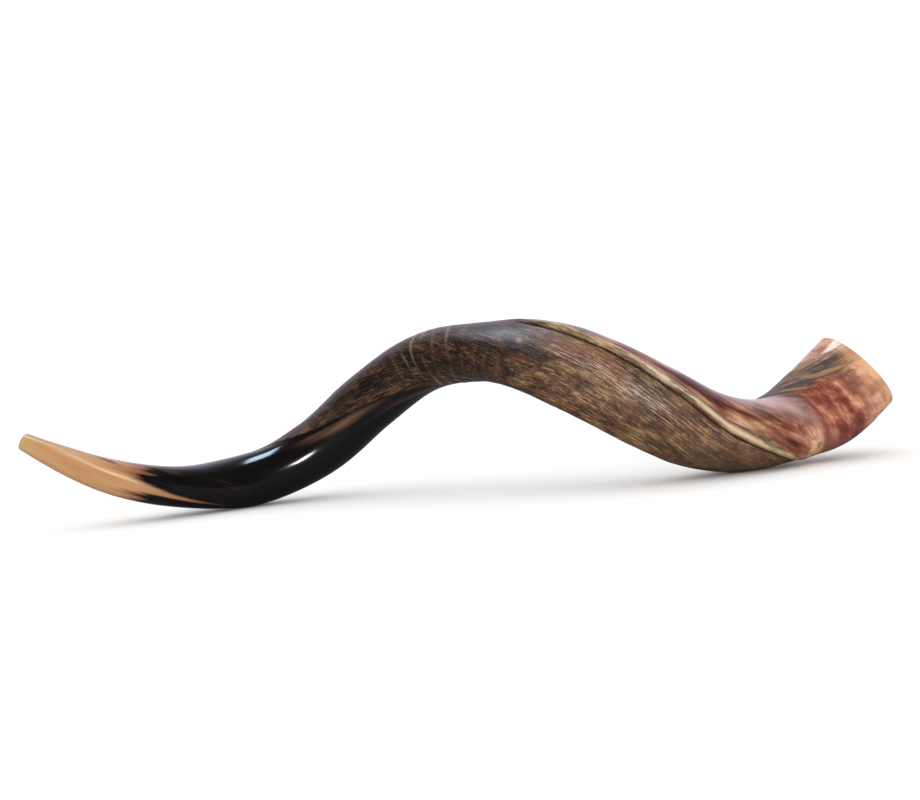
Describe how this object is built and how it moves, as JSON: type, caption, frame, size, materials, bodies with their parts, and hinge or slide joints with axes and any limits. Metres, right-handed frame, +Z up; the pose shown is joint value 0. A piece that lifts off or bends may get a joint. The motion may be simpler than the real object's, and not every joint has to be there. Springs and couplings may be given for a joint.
{
  "type": "shofar",
  "caption": "Long spiral antelope-horn shofar: polished pale tip with a blowing cup, dark shank, natural rough middle with a winding keel, and an open polished bell.",
  "frame": {"origin": "under the middle of the horn's box, on the surface it lies on", "axes": "+X along the horn from the blowing end to the bell, +Z up as it lies on its two low bends, -Y towards the side with the rough flank"},
  "size_m": [0.764, 0.1732, 0.1498],
  "materials": {
    "cut_tip_horn": "translucent yellow horn, cut across and eased, buffed",
    "pale_polished_horn": "apricot and cream horn with dark flame streaks, polished to a high gloss",
    "black_polished_horn": "black horn with faint brown streaks, mirror polished",
    "dark_brown_horn": "dark brown horn, polished below the step and natural above it",
    "rough_horn": "natural olive-brown horn with lengthwise fibres and growth bands, only brushed",
    "rough_horn_with_polished_back": "natural horn below the keel, red-brown polished horn above it",
    "red_brown_polished_horn": "red-brown horn with dark spots, polished, rough below the keel",
    "marbled_polished_horn": "pink, red and cream marbled horn with soft bands along the rim, polished to a high gloss"
  },
  "bodies": {
    "root": {"mouthpiece": "cut_tip_horn", "pale_tip": "pale_polished_horn", "dark_shank": "black_polished_horn", "rising_bend": "dark_brown_horn", "rough_crest": "rough_horn", "rough_flank": "rough_horn_with_polished_back", "lower_bend": "red_brown_polished_horn", "polished_bell": "marbled_polished_horn"}
  },
  "joints": []
}
